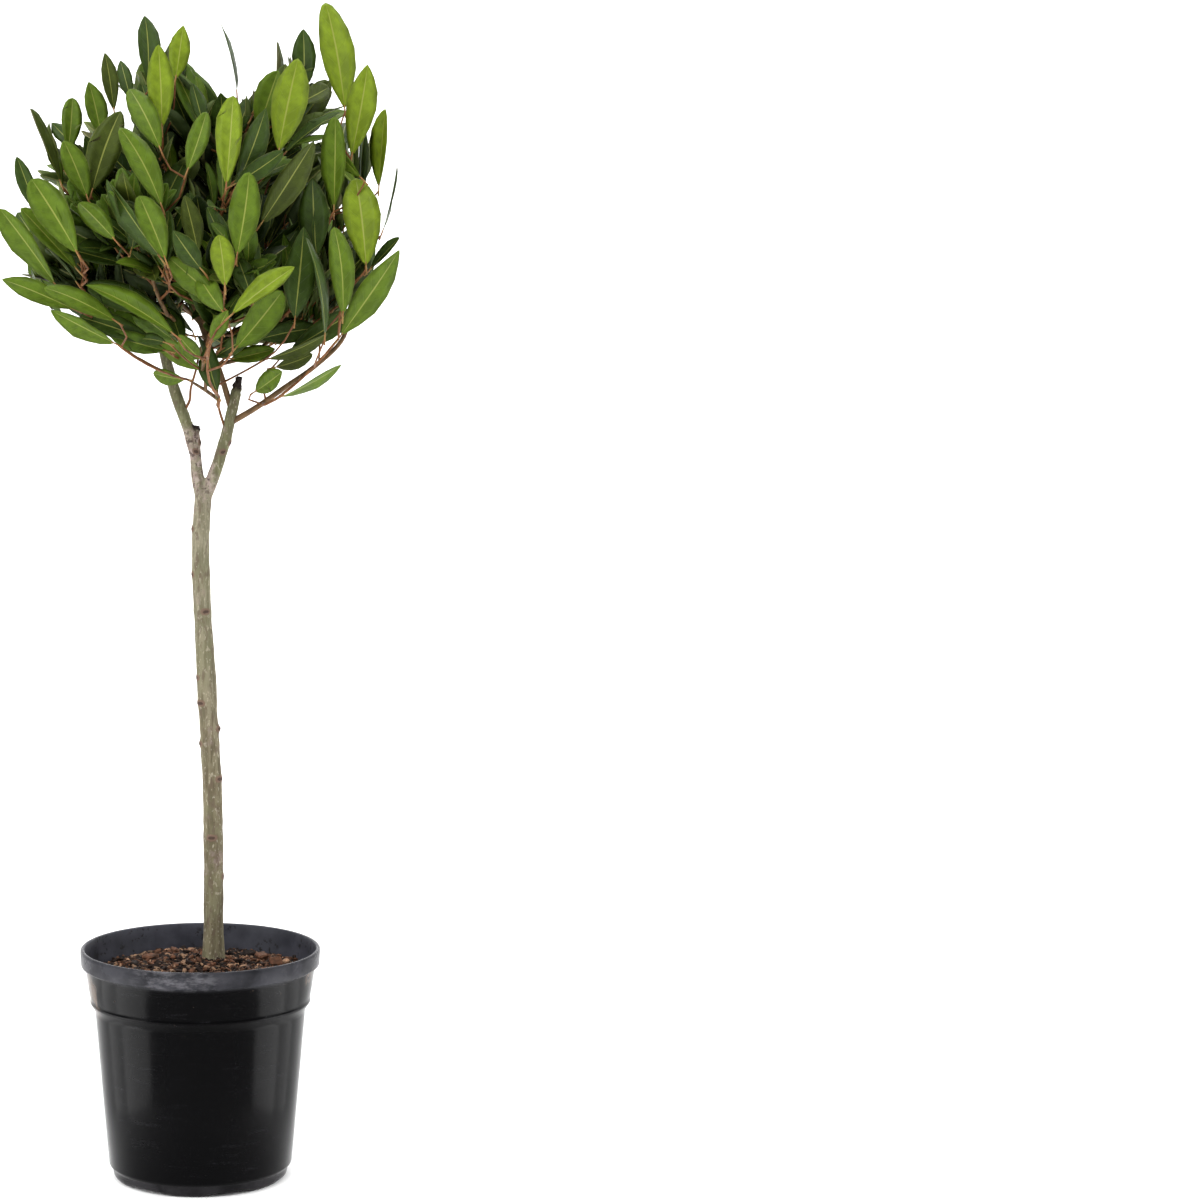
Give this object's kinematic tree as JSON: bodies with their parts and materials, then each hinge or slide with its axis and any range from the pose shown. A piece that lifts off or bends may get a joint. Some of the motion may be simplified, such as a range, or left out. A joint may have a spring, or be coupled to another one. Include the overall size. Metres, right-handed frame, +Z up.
{
  "type": "potted bay standard",
  "caption": "Bay tree grown as a standard: a bare stem in a round nursery pot, forking under a loose rounded crown of long upright leaves.",
  "frame": {"origin": "centre of the pot's flat underside", "axes": "+Z up along the stem, -Y towards the front view, +X to the right of it"},
  "size_m": [0.312, 0.3066, 0.929],
  "materials": {
    "pot_plastic": "satin",
    "compost": "rough bark chips",
    "bark": "smooth grey-green bark",
    "young_bark": "smooth red-brown bark",
    "foliage": "leathery satin leaf"
  },
  "bodies": {
    "root": {"pot": "pot_plastic", "compost": "compost", "trunk": "bark", "leader_left": "bark", "bough_left": "bark", "bough_right": "bark", "branch_right": "young_bark", "branch_centre": "young_bark", "mass_heart": "foliage", "mass_left_low": "foliage", "mass_left_high": "foliage", "mass_top_left": "foliage", "mass_top_centre": "foliage", "mass_top_right": "foliage", "mass_peak_right": "foliage", "mass_right": "foliage", "mass_right_low": "foliage", "mass_front": "foliage", "mass_front_left": "foliage", "mass_front_high": "foliage", "mass_back_left": "foliage", "mass_back_right": "foliage"}
  },
  "joints": []
}
